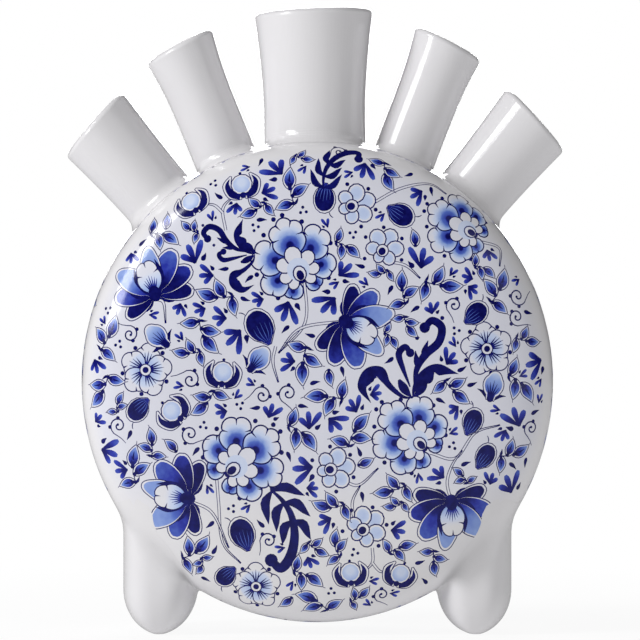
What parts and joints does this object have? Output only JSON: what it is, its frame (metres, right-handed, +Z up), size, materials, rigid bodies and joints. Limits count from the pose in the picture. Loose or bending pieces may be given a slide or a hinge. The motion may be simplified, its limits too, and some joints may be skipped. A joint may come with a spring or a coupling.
{
  "type": "tulip vase",
  "caption": "Flat round hollow vase on two lobed feet, with a fan of flared spouts round its shoulder, in glazed earthenware.",
  "frame": {"origin": "on the table, midway between the two feet and under the joint between the body's halves", "axes": "+Z up, -Y towards the front face, +X to the right seen from the front"},
  "size_m": [0.1509, 0.066, 0.1896],
  "materials": {
    "painted_glaze": "glossy white tin glaze with a cobalt blue flower pattern in the glaze",
    "white_glaze": "glossy plain white tin glaze"
  },
  "bodies": {
    "root": {"body_front_half": "painted_glaze", "body_back_half": "painted_glaze", "outer_left_spout": "white_glaze", "inner_left_spout": "white_glaze", "centre_spout": "white_glaze", "inner_right_spout": "white_glaze", "outer_right_spout": "white_glaze", "left_foot": "white_glaze", "right_foot": "white_glaze"}
  },
  "joints": []
}
